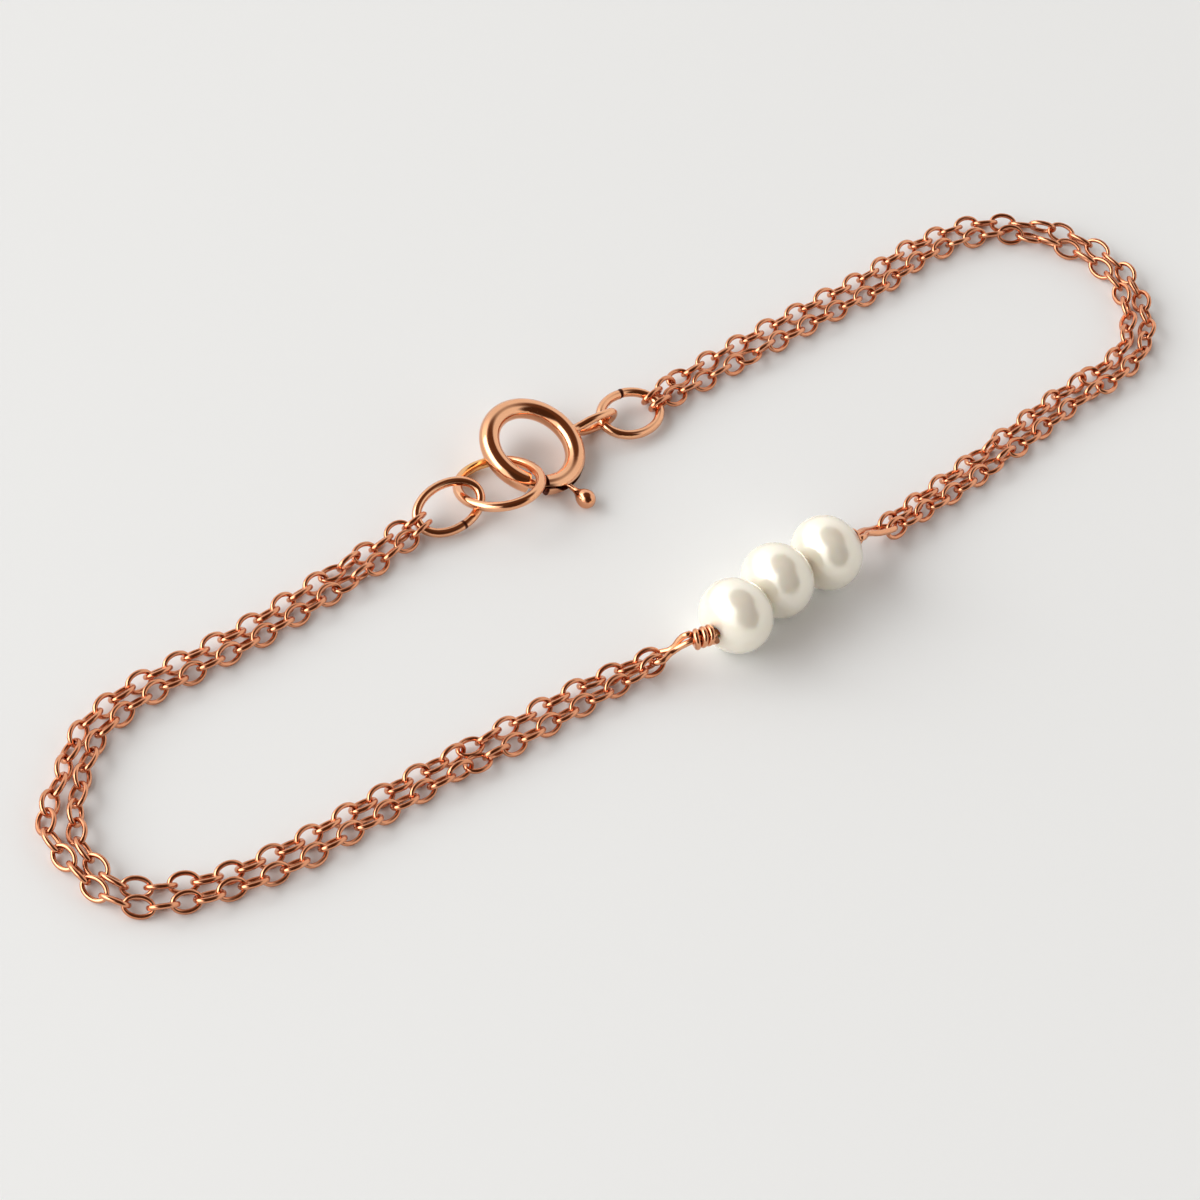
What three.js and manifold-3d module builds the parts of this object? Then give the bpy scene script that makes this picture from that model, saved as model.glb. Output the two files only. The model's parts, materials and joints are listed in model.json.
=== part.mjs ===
// A birthstone bracelet: three pearls on a wire-wrapped link, a double strand of fine
// cable chain on each side, two jump rings, a closed end ring and a spring ring clasp.
// Millimetres, +Z up. It lies closed on z = 0, its length along X, pearls at -Y.
import * as THREE from 'three';
import { mergeVertices } from 'three/addons/utils/BufferGeometryUtils.js';
import Module from 'manifold-3d';

const wasm = await Module();
wasm.setup();

// ---------------------------------------------------------------- driving dimensions

const PEARL = { radius: 2.06, halfLength: 1.8, boreRadius: 0.34, sides: 28, rings: 14 };

const WIRE = { radius: 0.17, sides: 8, wrapRadius: 0.39, wrapPitch: 0.37, wrapSteps: 10, wrapStart: 0.2 };
const WIRE_EYE = { halfWidth: 0.52, length: 1.5, leaving: 0.2, steps: 10 };

const CHAIN = { across: 0.92, sides: 8 };
const END_LINK = { halfLength: 0.76, halfWidth: 0.5, wireRadius: 0.12, steps: 20, sides: 8 };

const CLASP = { radius: 2.45, tubeRadius: 0.55, boreRadius: 0.35, stepsPerTurn: 48, sides: 14 };
const MOUTH = { slotEdge: -111, catchEdge: -131.5 };
const BOLT = { radius: 0.27, tip: -135.5, tail: -58, sides: 12 };
const BOLT_TRAVEL = MOUTH.slotEdge - BOLT.tip;
const KNOB = { angle: -77, lift: 13, reach: 1.62, radius: 0.5, sides: 16, rings: 12 };
const STEM = { radius: 0.14, sides: 10 };
const SLOT = { width: 0.38, inner: 0.22, outer: 0.9, overrun: 2, end: KNOB.angle + BOLT_TRAVEL + 5 };
const TAIL_EYE = {
  angle: -0.5, start: 2.85, end: 5.65, rootHeight: 0.25, halfHeight: 0.63, wireRadius: 0.22, steps: 10,
};
// The bore is cut clear again for this many degrees each side of the tail eye's root.
const ROOT_SPAN = 25;

const RING_SIDES = 10;
const RING_STEPS = 44;
const SEAM_GAP = 0.06;

// Where each ring lies: centre, how far it leans about X and Y, and how its oval is turned.
const CLASP_PLACE = { x: -1.85, y: 7.31, z: 1.18, leanX: 13.8, leanY: 3.9, turn: 0 };
const RINGS = {
  jump_ring_left: {
    x: -8.35, y: 6.18, z: 0.92, leanX: 24.3, leanY: -5.0, turn: 2.9,
    semiLong: 2.00, semiShort: 1.23, wire: 0.25, seam: -86,
  },
  end_ring: {
    x: -5.12, y: 6.03, z: 1.17, leanX: -20.7, leanY: -5.4, turn: 0.3,
    semiLong: 2.15, semiShort: 2.35, wire: 0.27, seam: null,
  },
  jump_ring_right: {
    x: 4.87, y: 7.00, z: 0.68, leanX: 7.9, leanY: 2.8, turn: 3.2,
    semiLong: 1.90, semiShort: 1.36, wire: 0.26, seam: 75,
  },
};

// Pearl centres, and the way each drill hole points in the plane of the table.
const PEARLS = [
  { name: 'pearl_1', x: -0.74, y: -8.22, bearing: 12.7 },
  { name: 'pearl_2', x: 2.82, y: -7.42, bearing: 7.9 },
  { name: 'pearl_3', x: 6.46, y: -7.23, bearing: 3.0 },
];

// Each end of the pearls' wire: its centre line from the pearl to the tip of its eye, how
// many wraps it has and where they begin, and how far the eye leans over from upright.
const WIRE_ENDS = {
  left: {
    wraps: 2.4,
    from: 90,
    lean: 40,
    line: [
      { x: -2.50, y: -8.62, z: 2.06 },
      { x: -3.55, y: -8.40, z: 2.00 },
      { x: -4.55, y: -7.84, z: 1.14 },
      { x: -5.65, y: -7.60, z: 0.66 },
    ],
  },
  right: {
    wraps: 1.6,
    from: -90,
    lean: -40,
    line: [
      { x: 8.26, y: -7.14, z: 2.06 },
      { x: 8.98, y: -6.98, z: 1.92 },
      { x: 10.65, y: -6.88, z: 1.18 },
      { x: 12.00, y: -6.72, z: 0.66 },
    ],
  },
};

// Where the last link of each strand hooks on: a ring at an angle of its oval, or an end of
// the wire, off to one side inside its eye. The roll turns the link about its own length.
const RING_HOOKS = {
  chain_left_outer: { ring: 'jump_ring_left', angle: 167, roll: 66, lift: 0.03 },
  chain_left_inner: { ring: 'jump_ring_left', angle: 193, roll: 66, lift: 0.03 },
  chain_right_outer: { ring: 'jump_ring_right', angle: 16, roll: 105, lift: 0.05 },
  chain_right_inner: { ring: 'jump_ring_right', angle: -16, roll: 105, lift: 0.05 },
};
const RING_HOOK_INSET = 0.5;
const EYE_HOOKS = {
  chain_left_outer: { end: 'left', aside: 0.165, roll: -40 },
  chain_left_inner: { end: 'left', aside: -0.165, roll: -40 },
  chain_right_outer: { end: 'right', aside: 0.165, roll: 40 },
  chain_right_inner: { end: 'right', aside: -0.165, roll: 40 },
};
const EYE_HOOK_INSET = 0.55;

// Centre line of each double strand, from the clasp side round to the pearls. z is the
// height of the strands' centre and apart is the distance between the two of them.
const LEFT_STRANDS = [
  { x: -11.30, y: 6.05, z: 0.56, apart: 1.00 },
  { x: -13.90, y: 5.54, z: 0.46, apart: 0.98 },
  { x: -17.30, y: 5.09, z: 0.46, apart: 1.00 },
  { x: -21.90, y: 4.49, z: 0.46, apart: 0.98 },
  { x: -26.60, y: 4.21, z: 0.46, apart: 0.98 },
  { x: -29.00, y: 4.11, z: 0.46, apart: 0.98 },
  { x: -31.20, y: 3.69, z: 0.46, apart: 1.00 },
  { x: -32.90, y: 3.10, z: 0.46, apart: 1.00 },
  { x: -34.40, y: 1.99, z: 0.46, apart: 1.02 },
  { x: -35.90, y: 0.62, z: 0.46, apart: 1.10 },
  { x: -37.20, y: -0.72, z: 0.46, apart: 1.45 },
  { x: -37.75, y: -2.25, z: 0.46, apart: 1.20 },
  { x: -37.80, y: -3.45, z: 0.46, apart: 1.02 },
  { x: -37.75, y: -4.65, z: 0.46, apart: 1.00 },
  { x: -37.25, y: -5.90, z: 0.46, apart: 1.10 },
  { x: -36.25, y: -6.80, z: 0.46, apart: 1.20 },
  { x: -34.95, y: -7.30, z: 0.46, apart: 1.20 },
  { x: -32.90, y: -7.88, z: 0.46, apart: 1.02 },
  { x: -29.70, y: -8.26, z: 0.46, apart: 1.08 },
  { x: -24.80, y: -8.03, z: 0.46, apart: 1.00 },
  { x: -20.00, y: -7.81, z: 0.46, apart: 1.00 },
  { x: -14.90, y: -7.71, z: 0.46, apart: 1.08 },
  { x: -9.70, y: -7.48, z: 0.46, apart: 0.98 },
  { x: -6.60, y: -7.52, z: 0.50, apart: 0.96 },
];
const RIGHT_STRANDS = [
  { x: 7.75, y: 7.30, z: 0.56, apart: 0.98 },
  { x: 9.90, y: 7.55, z: 0.46, apart: 1.00 },
  { x: 12.30, y: 7.74, z: 0.46, apart: 1.05 },
  { x: 15.90, y: 7.99, z: 0.46, apart: 1.10 },
  { x: 20.80, y: 8.29, z: 0.46, apart: 1.12 },
  { x: 24.80, y: 8.54, z: 0.46, apart: 1.15 },
  { x: 27.60, y: 9.04, z: 0.46, apart: 1.05 },
  { x: 29.90, y: 9.14, z: 0.46, apart: 1.00 },
  { x: 32.30, y: 8.94, z: 0.46, apart: 1.08 },
  { x: 34.00, y: 8.39, z: 0.46, apart: 1.02 },
  { x: 35.40, y: 7.49, z: 0.46, apart: 1.05 },
  { x: 36.60, y: 6.29, z: 0.46, apart: 1.15 },
  { x: 37.40, y: 4.99, z: 0.46, apart: 1.22 },
  { x: 37.90, y: 3.39, z: 0.46, apart: 1.15 },
  { x: 37.95, y: 1.99, z: 0.46, apart: 1.10 },
  { x: 37.50, y: 0.49, z: 0.46, apart: 1.05 },
  { x: 36.80, y: -0.81, z: 0.46, apart: 1.15 },
  { x: 35.70, y: -2.11, z: 0.46, apart: 1.15 },
  { x: 34.10, y: -3.21, z: 0.46, apart: 1.05 },
  { x: 31.80, y: -3.86, z: 0.46, apart: 1.02 },
  { x: 28.30, y: -4.21, z: 0.46, apart: 1.05 },
  { x: 23.80, y: -4.96, z: 0.46, apart: 1.00 },
  { x: 18.80, y: -5.76, z: 0.46, apart: 0.98 },
  { x: 12.90, y: -6.61, z: 0.50, apart: 0.96 },
];

// ---------------------------------------------------------------- finishes

const METAL = { color: 0xd98f6c, roughness: 0.18, metalness: 1.0 };
const CHAIN_METAL = { color: 0xcf8460, roughness: 0.25, metalness: 1.0 };
const NACRE = { color: 0xf6efe6, roughness: 0.22, metalness: 0.0 };

const UP = new THREE.Vector3(0, 0, 1);

function radians(degrees) {
  return THREE.MathUtils.degToRad(degrees);
}

function makeMesh(name, geometry, look) {
  const mesh = new THREE.Mesh(geometry, new THREE.MeshStandardMaterial(look));
  mesh.name = name;
  return mesh;
}

// Turns an object so that it leans about X and then about Y, after its own turn about Z.
function placeLeaning(object, place) {
  object.position.set(place.x, place.y, place.z);
  object.rotation.set(radians(place.leanX), radians(place.leanY), radians(place.turn), 'YXZ');
}

// ---------------------------------------------------------------- solids

function bare(geometry) {
  const copy = geometry.clone();
  copy.deleteAttribute('normal');
  copy.deleteAttribute('uv');
  return mergeVertices(copy, 1e-5);
}

function toSolid(geometry) {
  const merged = bare(geometry);
  return new wasm.Manifold(new wasm.Mesh({
    numProp: 3,
    vertProperties: new Float32Array(merged.attributes.position.array),
    triVerts: new Uint32Array(merged.index.array),
  }));
}

function toGeometry(solid) {
  const mesh = solid.getMesh();
  const geometry = new THREE.BufferGeometry();
  geometry.setAttribute('position', new THREE.BufferAttribute(mesh.vertProperties, 3));
  geometry.setIndex(new THREE.BufferAttribute(mesh.triVerts, 1));
  geometry.computeVertexNormals();
  return geometry;
}

// A curve whose steps fall on its rows, so that rows set closer together give more steps.
class RowCurve extends THREE.CatmullRomCurve3 {
  getUtoTmapping(u) {
    return u;
  }
}

function roundSection(radius, sides) {
  const points = [];
  for (let i = 0; i < sides; i++) {
    const angle = (i + 0.5) * 2 * Math.PI / sides;
    points.push(new THREE.Vector2(radius * Math.cos(angle), radius * Math.sin(angle)));
  }
  return new THREE.Shape(points);
}

function sweep(section, curve, steps) {
  return new THREE.ExtrudeGeometry(section, { steps, extrudePath: curve, bevelEnabled: false });
}

function tubeThrough(points, radius, sides) {
  return sweep(roundSection(radius, sides), new RowCurve(points), points.length - 1);
}

// ---------------------------------------------------------------- pearls

function pearlGeometry() {
  const { radius, halfLength, boreRadius, sides, rings } = PEARL;
  const first = Math.asin(boreRadius / radius);
  const profile = [];
  for (let i = 0; i <= rings; i++) {
    const angle = first + (Math.PI - 2 * first) * i / rings;
    profile.push(new THREE.Vector2(radius * Math.sin(angle), -halfLength * Math.cos(angle)));
  }
  profile.push(profile[0].clone());
  return bare(new THREE.LatheGeometry(profile, sides));
}

function makePearl(row) {
  const pearl = makeMesh(row.name, pearlGeometry(), NACRE);
  pearl.position.set(row.x, row.y, PEARL.radius);
  pearl.rotation.z = radians(row.bearing - 90);
  return pearl;
}

// ---------------------------------------------------------------- the pearls' wire

function vector(row) {
  return new THREE.Vector3(row.x, row.y, row.z);
}

// The line of one end of the wire, with a frame at each place along it.
function wireLine(end) {
  const curve = new THREE.CatmullRomCurve3(WIRE_ENDS[end].line.map(vector), false, 'centripetal');
  const length = curve.getLength();
  const lean = radians(WIRE_ENDS[end].lean);
  function at(s, wide, across) {
    const u = THREE.MathUtils.clamp(s / length, 0, 1);
    const along = curve.getTangentAt(u);
    const level = new THREE.Vector3().crossVectors(UP, along).normalize();
    const rise = new THREE.Vector3().crossVectors(along, level);
    const out = rise.clone().multiplyScalar(Math.cos(lean)).addScaledVector(level, Math.sin(lean));
    const side = new THREE.Vector3().crossVectors(along, out);
    return curve.getPointAt(u).addScaledVector(out, wide).addScaledVector(side, across);
  }
  return { at, length };
}

// From the pearl out along the core, round the eye and back to the wraps about the core.
function wireEndPoints(end) {
  const line = wireLine(end);
  const { wraps, from } = WIRE_ENDS[end];
  const { halfWidth, leaving, steps } = WIRE_EYE;
  const wrapEnd = WIRE.wrapStart + wraps * WIRE.wrapPitch;
  const eyeStart = line.length - WIRE_EYE.length;
  const turnAt = line.length - halfWidth;
  const points = [];
  function runBeside(sign) {
    return [
      line.at(eyeStart, sign * leaving, 0),
      line.at((eyeStart + turnAt) / 2, sign * 0.5 * (leaving + halfWidth), 0),
    ];
  }
  points.push(line.at(WIRE.wrapStart, 0, 0), line.at(wrapEnd, 0, 0), ...runBeside(-1));
  for (let i = 0; i <= steps; i++) {
    const angle = Math.PI * i / steps;
    points.push(line.at(turnAt + halfWidth * Math.sin(angle), -halfWidth * Math.cos(angle), 0));
  }
  points.push(...runBeside(1).reverse());
  function besideCore(distance, angle) {
    return line.at(distance, WIRE.wrapRadius * Math.cos(angle), WIRE.wrapRadius * Math.sin(angle));
  }
  points.push(besideCore(wrapEnd + WIRE.wrapPitch, radians(from)));
  const wrapSteps = Math.round(WIRE.wrapSteps * wraps);
  for (let i = 0; i <= wrapSteps; i++) {
    const turn = wraps * i / wrapSteps;
    points.push(besideCore(wrapEnd - WIRE.wrapPitch * turn, radians(from) + 2 * Math.PI * turn));
  }
  return points;
}

function makePearlWire() {
  const threaded = PEARLS.map((row) => new THREE.Vector3(row.x, row.y, PEARL.radius));
  const points = [
    ...wireEndPoints('left').reverse(),
    vector(WIRE_ENDS.left.line[0]),
    ...threaded,
    vector(WIRE_ENDS.right.line[0]),
    ...wireEndPoints('right'),
  ];
  return makeMesh('pearl_wire', tubeThrough(points, WIRE.radius, WIRE.sides), METAL);
}

// ---------------------------------------------------------------- rings

function ovalPoint(ring, angle) {
  return new THREE.Vector3(ring.semiLong * Math.cos(angle), ring.semiShort * Math.sin(angle), 0);
}

class OvalCurve extends THREE.Curve {
  constructor(ring) {
    super();
    this.ring = ring;
  }

  getPoint(t) {
    return ovalPoint(this.ring, 2 * Math.PI * t);
  }
}

// A closed ring is a full loop; a jump ring is one wire whose two ends meet at a cut seam.
function ringGeometry(ring) {
  if (ring.seam === null) {
    return bare(new THREE.TubeGeometry(new OvalCurve(ring), RING_STEPS, ring.wire, RING_SIDES, true));
  }
  const start = radians(ring.seam) + SEAM_GAP / (2 * ring.semiShort);
  const sweepAngle = 2 * Math.PI - SEAM_GAP / ring.semiShort;
  const points = [];
  for (let i = 0; i <= RING_STEPS; i++) {
    points.push(ovalPoint(ring, start + sweepAngle * i / RING_STEPS));
  }
  return tubeThrough(points, ring.wire, RING_SIDES);
}

function makeRing(name) {
  const ring = makeMesh(name, ringGeometry(RINGS[name]), METAL);
  placeLeaning(ring, RINGS[name]);
  return ring;
}

// A point inside a ring's oval, in the bracelet's frame, a given way in from the wire's centre.
function pointInRing(name, angle, inset) {
  const ring = RINGS[name];
  const holder = new THREE.Object3D();
  placeLeaning(holder, ring);
  holder.updateMatrix();
  const inner = { semiLong: ring.semiLong - inset, semiShort: ring.semiShort - inset };
  return ovalPoint(inner, angle).applyMatrix4(holder.matrix);
}

// ---------------------------------------------------------------- clasp

function claspPoint(angle, lift, away) {
  const a = radians(angle);
  const e = radians(lift);
  const r = CLASP.radius + away * Math.cos(e);
  return new THREE.Vector3(r * Math.cos(a), r * Math.sin(a), away * Math.sin(e));
}

// Points on the clasp's centre circle. Every sweep along it uses the same angles, apart from
// its ends, so that a cut follows the tube's own facets.
const SHORTEST_STEP = 0.3;

function claspArc(from, to) {
  const step = 360 / CLASP.stepsPerTurn;
  const angles = [from];
  for (let a = Math.ceil(from / step) * step; a < to; a += step) {
    if (a - from > SHORTEST_STEP * step && to - a > SHORTEST_STEP * step) {
      angles.push(a);
    }
  }
  angles.push(to);
  return angles.map((a) => claspPoint(a, 0, 0));
}

function sweepArc(section, from, to) {
  const points = claspArc(from, to);
  return sweep(section, new RowCurve(points), points.length - 1);
}

function boreSection() {
  return roundSection(CLASP.boreRadius, CLASP.sides);
}

function hollowSection() {
  const section = roundSection(CLASP.tubeRadius, CLASP.sides);
  section.holes.push(new THREE.Path(boreSection().getPoints()));
  return section;
}

// The slot is cut by a box-shaped section swept round, with its inner edge in the bore.
function slotCutter() {
  const corners = [];
  const half = SLOT.width / 2;
  const points = claspArc(MOUTH.slotEdge - SLOT.overrun, SLOT.end);
  const lift = radians(KNOB.lift);
  const outline = [[SLOT.inner, -half], [SLOT.outer, -half], [SLOT.outer, half], [SLOT.inner, half]];
  for (const [away, side] of outline) {
    corners.push({
      out: away * Math.cos(lift) - side * Math.sin(lift),
      up: away * Math.sin(lift) + side * Math.cos(lift),
    });
  }
  return ribbon(points, corners);
}

// A closed bar along points of the clasp circle, its section given by out and up offsets.
function ribbon(points, corners) {
  const positions = [];
  for (const point of points) {
    const outward = point.clone().normalize();
    for (const corner of corners) {
      const p = point.clone().addScaledVector(outward, corner.out).addScaledVector(UP, corner.up);
      positions.push(p.x, p.y, p.z);
    }
  }
  const n = corners.length;
  const last = (points.length - 1) * n;
  const index = [0, 1, 2, 0, 2, 3, last, last + 2, last + 1, last, last + 3, last + 2];
  for (let i = 0; i + 1 < points.length; i++) {
    for (let k = 0; k < n; k++) {
      const a = i * n + k;
      const b = i * n + (k + 1) % n;
      index.push(a, a + n, b, b, a + n, b + n);
    }
  }
  const geometry = new THREE.BufferGeometry();
  geometry.setAttribute('position', new THREE.Float32BufferAttribute(positions, 3));
  geometry.setIndex(index);
  return geometry;
}

// The tail eye stands on edge: two runs of wire out from the tube and a round end.
function tailEyeGeometry() {
  const { angle, start, end, rootHeight, halfHeight, wireRadius, steps } = TAIL_EYE;
  const out = new THREE.Vector3(Math.cos(radians(angle)), Math.sin(radians(angle)), 0);
  const turnAt = end - halfHeight;
  const points = [];
  function add(r, z) {
    points.push(out.clone().multiplyScalar(r).addScaledVector(UP, z));
  }
  add(start, -rootHeight);
  add(0.5 * (start + turnAt), -halfHeight);
  for (let i = 0; i <= steps; i++) {
    const a = Math.PI * (i / steps - 0.5);
    add(turnAt + halfHeight * Math.cos(a), halfHeight * Math.sin(a));
  }
  add(0.5 * (start + turnAt), halfHeight);
  add(start, rootHeight);
  return tubeThrough(points, wireRadius, RING_SIDES);
}

function makeClaspRing() {
  const tube = toSolid(sweepArc(hollowSection(), MOUTH.slotEdge, MOUTH.catchEdge + 360));
  const slot = toSolid(slotCutter());
  const bore = toSolid(sweepArc(boreSection(), -ROOT_SPAN, ROOT_SPAN));
  const eye = toSolid(tailEyeGeometry()).subtract(bore);
  return makeMesh('clasp_ring', toGeometry(tube.subtract(slot).add(eye)), METAL);
}

function makeClaspBolt() {
  const rod = toSolid(sweepArc(roundSection(BOLT.radius, BOLT.sides), BOLT.tip, BOLT.tail));
  const stemEnds = [claspPoint(KNOB.angle, 0, 0), claspPoint(KNOB.angle, KNOB.lift, KNOB.reach)];
  const stemLine = new THREE.LineCurve3(...stemEnds);
  const stem = toSolid(sweep(roundSection(STEM.radius, STEM.sides), stemLine, 1));
  const ball = new THREE.SphereGeometry(KNOB.radius, KNOB.sides, KNOB.rings);
  ball.translate(...stemEnds[1].toArray());
  return makeMesh('clasp_bolt', toGeometry(rod.add(stem).add(toSolid(ball))), METAL);
}

function makeClasp() {
  const clasp = new THREE.Group();
  clasp.add(makeClaspRing(), makeClaspBolt());
  placeLeaning(clasp, CLASP_PLACE);
  return clasp;
}

// ---------------------------------------------------------------- chain

// One strand's rows: the pair's centre line moved to one side by half their distance apart.
function strandPoints(rows, sign) {
  const centre = new RowCurve(rows.map(vector));
  return rows.map((row, i) => {
    const along = centre.getTangent(i / (rows.length - 1));
    const side = new THREE.Vector3(along.y, -along.x, 0).normalize();
    return vector(row).addScaledVector(side, sign * row.apart / 2);
  });
}

function chainSection() {
  return roundSection(CHAIN.across / 2 / Math.cos(Math.PI / CHAIN.sides), CHAIN.sides);
}

// A strand's last link: an oval loop whose far end is in the strand and whose near end is
// inside the ring or eye that it hangs on.
function endLink(inner, from, roll) {
  const along = from.clone().sub(inner).normalize();
  const level = new THREE.Vector3().crossVectors(UP, along).normalize();
  const rise = new THREE.Vector3().crossVectors(along, level);
  const turn = radians(roll);
  const wide = level.multiplyScalar(Math.cos(turn)).addScaledVector(rise, Math.sin(turn));
  const axes = new THREE.Matrix4().makeBasis(along, wide, new THREE.Vector3().crossVectors(along, wide));
  axes.setPosition(inner.clone().addScaledVector(along, END_LINK.halfLength));
  const oval = new OvalCurve({ semiLong: END_LINK.halfLength, semiShort: END_LINK.halfWidth });
  const { steps, wireRadius, sides } = END_LINK;
  return new THREE.TubeGeometry(oval, steps, wireRadius, sides, true).applyMatrix4(axes);
}

function ringLink(name, from) {
  const hook = RING_HOOKS[name];
  const inner = pointInRing(hook.ring, radians(hook.angle), RING_HOOK_INSET);
  inner.z += hook.lift;
  return endLink(inner, from, hook.roll);
}

function eyeLink(name, from) {
  const hook = EYE_HOOKS[name];
  const line = wireLine(hook.end);
  return endLink(line.at(line.length - EYE_HOOK_INSET, hook.aside, 0), from, hook.roll);
}

function makeStrand(name, rows, sign) {
  const points = strandPoints(rows, sign);
  const steps = points.length - 1;
  const tube = toSolid(sweep(chainSection(), new RowCurve(points), steps));
  const links = [ringLink(name, points[0]), eyeLink(name, points[steps])];
  const strand = links.reduce((solid, link) => solid.add(toSolid(link)), tube);
  return makeMesh(name, toGeometry(strand), CHAIN_METAL);
}

// ---------------------------------------------------------------- assembly

const bracelet = new THREE.Group();
PEARLS.forEach((row) => bracelet.add(makePearl(row)));
bracelet.add(makePearlWire());
Object.keys(RINGS).forEach((name) => bracelet.add(makeRing(name)));
bracelet.add(makeClasp());
bracelet.add(makeStrand('chain_left_outer', LEFT_STRANDS, 1));
bracelet.add(makeStrand('chain_left_inner', LEFT_STRANDS, -1));
bracelet.add(makeStrand('chain_right_outer', RIGHT_STRANDS, -1));
bracelet.add(makeStrand('chain_right_inner', RIGHT_STRANDS, 1));

export default bracelet;
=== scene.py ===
# A birthstone bracelet lying closed on a pale table: three pearls on a wire-wrapped link,
# two strands of fine cable chain on each side, and a spring ring hooked on an end ring.
import json
import math

import bmesh
import bpy
from mathutils import Matrix, Vector, noise


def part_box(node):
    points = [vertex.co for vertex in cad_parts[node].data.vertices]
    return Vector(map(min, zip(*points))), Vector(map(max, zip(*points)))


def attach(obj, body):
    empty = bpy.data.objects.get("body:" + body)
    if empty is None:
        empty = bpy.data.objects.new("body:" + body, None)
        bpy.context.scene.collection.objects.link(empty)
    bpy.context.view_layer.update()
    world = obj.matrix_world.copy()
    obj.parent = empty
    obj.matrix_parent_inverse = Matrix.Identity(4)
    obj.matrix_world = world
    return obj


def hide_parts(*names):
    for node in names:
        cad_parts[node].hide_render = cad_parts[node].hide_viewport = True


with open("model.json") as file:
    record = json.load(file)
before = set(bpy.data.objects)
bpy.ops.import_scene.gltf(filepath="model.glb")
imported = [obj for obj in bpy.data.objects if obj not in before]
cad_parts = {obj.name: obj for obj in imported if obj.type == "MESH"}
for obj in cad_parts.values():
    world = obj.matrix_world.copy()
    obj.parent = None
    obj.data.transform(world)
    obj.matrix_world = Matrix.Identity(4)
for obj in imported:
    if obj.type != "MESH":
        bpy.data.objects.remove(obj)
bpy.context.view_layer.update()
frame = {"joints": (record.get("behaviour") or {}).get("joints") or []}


# --------------------------------------------------------------------------- pearls
# Three near-round white pearls, a little short along the drill hole. The nacre has a warm
# cream cast under a clear gloss, and each pearl is threaded on the soft wire.

# Sizes are in millimetres, as on the bench, and each mesh is made in metres.
MM = 0.001
PEARL_RADIUS = 2.06
PEARL_HALF_LENGTH = 1.8
DRILL_RADIUS = 0.28
DRILL_CHAMFER = 0.04
OFF_ROUND = 0.008
SWELLS_PER_MM = 0.45
PEARL_STEPS = 72
PEARL_ROWS = 44
# The way that each drill hole runs, in degrees from X.
PEARL_BEARINGS = {"pearl_1": 12.7, "pearl_2": 7.9, "pearl_3": 3.0}
CREAM = (0.92, 0.85, 0.72)
PEARL_WHITE = (0.97, 0.92, 0.82)
NACRE_CLOUDS = 420.0
NACRE_GRAIN = 900.0
NACRE_BODY = {
    "Metallic": 0.3,
    "IOR": 1.6,
    "Coat Weight": 0.5,
    "Coat Roughness": 0.1,
    "Subsurface Weight": 0.4,
    "Subsurface Radius": (1.0, 0.75, 0.5),
    "Subsurface Scale": 1.0 * MM,
}


def middle_of(node):
    """The centre of one of the frame's nodes, in millimetres."""
    low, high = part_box(node)
    return (low + high) / (2 * MM)


def add_node(tree, kind, inputs=None, **settings):
    """A new node with its settings and inputs; an input is a value or another node's socket."""
    made = tree.nodes.new(kind)
    for key, value in settings.items():
        setattr(made, key, value)
    for key, value in (inputs or {}).items():
        if isinstance(value, bpy.types.NodeSocket):
            tree.links.new(value, made.inputs[key])
        else:
            made.inputs[key].default_value = value
    return made


def cloudy(tree, place, scale, detail):
    """Soft noise over a place, as a socket that runs about 0.3 to 0.7."""
    inputs = {"Vector": place, "Scale": scale, "Detail": detail}
    return add_node(tree, "ShaderNodeTexNoise", inputs).outputs["Fac"]


def blended(tree, factor, first, second):
    """A colour between two others, where the factor is a socket."""
    ramp = add_node(tree, "ShaderNodeValToRGB", {"Fac": factor})
    ramp.color_ramp.elements[0].color = (*first, 1.0)
    ramp.color_ramp.elements[1].color = (*second, 1.0)
    return ramp.outputs["Color"]


def new_material(name):
    """A new material with its node tree and its shader."""
    material = bpy.data.materials.new(name)
    material.use_nodes = True
    tree = material.node_tree
    return material, tree, tree.nodes["Principled BSDF"]


def marked_surface(tree, shader, marks, smooth, worn, strength):
    """Lets fine marks set a shader's roughness, from smooth to worn, and a slight relief."""
    levels = {"Value": marks, "From Min": 0.3, "From Max": 0.7, "To Min": smooth, "To Max": worn}
    rough = add_node(tree, "ShaderNodeMapRange", levels)
    tree.links.new(rough.outputs["Result"], shader.inputs["Roughness"])
    height = {"Height": marks, "Strength": strength, "Distance": 0.01 * MM}
    relief = add_node(tree, "ShaderNodeBump", height)
    tree.links.new(relief.outputs["Normal"], shader.inputs["Normal"])


def nacre():
    """Nacre: a soft cloud of cream and white that lets light in, under a clear coat."""
    material, tree, shader = new_material("nacre")
    place = add_node(tree, "ShaderNodeTexCoord").outputs["Object"]
    tone = blended(tree, cloudy(tree, place, NACRE_CLOUDS, 3.0), CREAM, PEARL_WHITE)
    tree.links.new(tone, shader.inputs["Base Color"])
    grain = cloudy(tree, place, NACRE_GRAIN, 3.0)
    marked_surface(tree, shader, grain, smooth=0.2, worn=0.26, strength=0.05)
    for label, value in NACRE_BODY.items():
        shader.inputs[label].default_value = value
    return material


def pearl_profile():
    """Radius and height pairs, all the way round the wall from inside the drill hole."""
    first = math.asin((DRILL_RADIUS + DRILL_CHAMFER) / PEARL_RADIUS)
    pairs = []
    for row in range(PEARL_ROWS + 1):
        angle = first + (math.pi - 2 * first) * row / PEARL_ROWS
        pairs.append((PEARL_RADIUS * math.sin(angle), -PEARL_HALF_LENGTH * math.cos(angle)))
    mouth = pairs[0][1] + DRILL_CHAMFER
    pairs += [(DRILL_RADIUS, -mouth), (DRILL_RADIUS, 0.0), (DRILL_RADIUS, mouth)]
    return pairs


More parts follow.
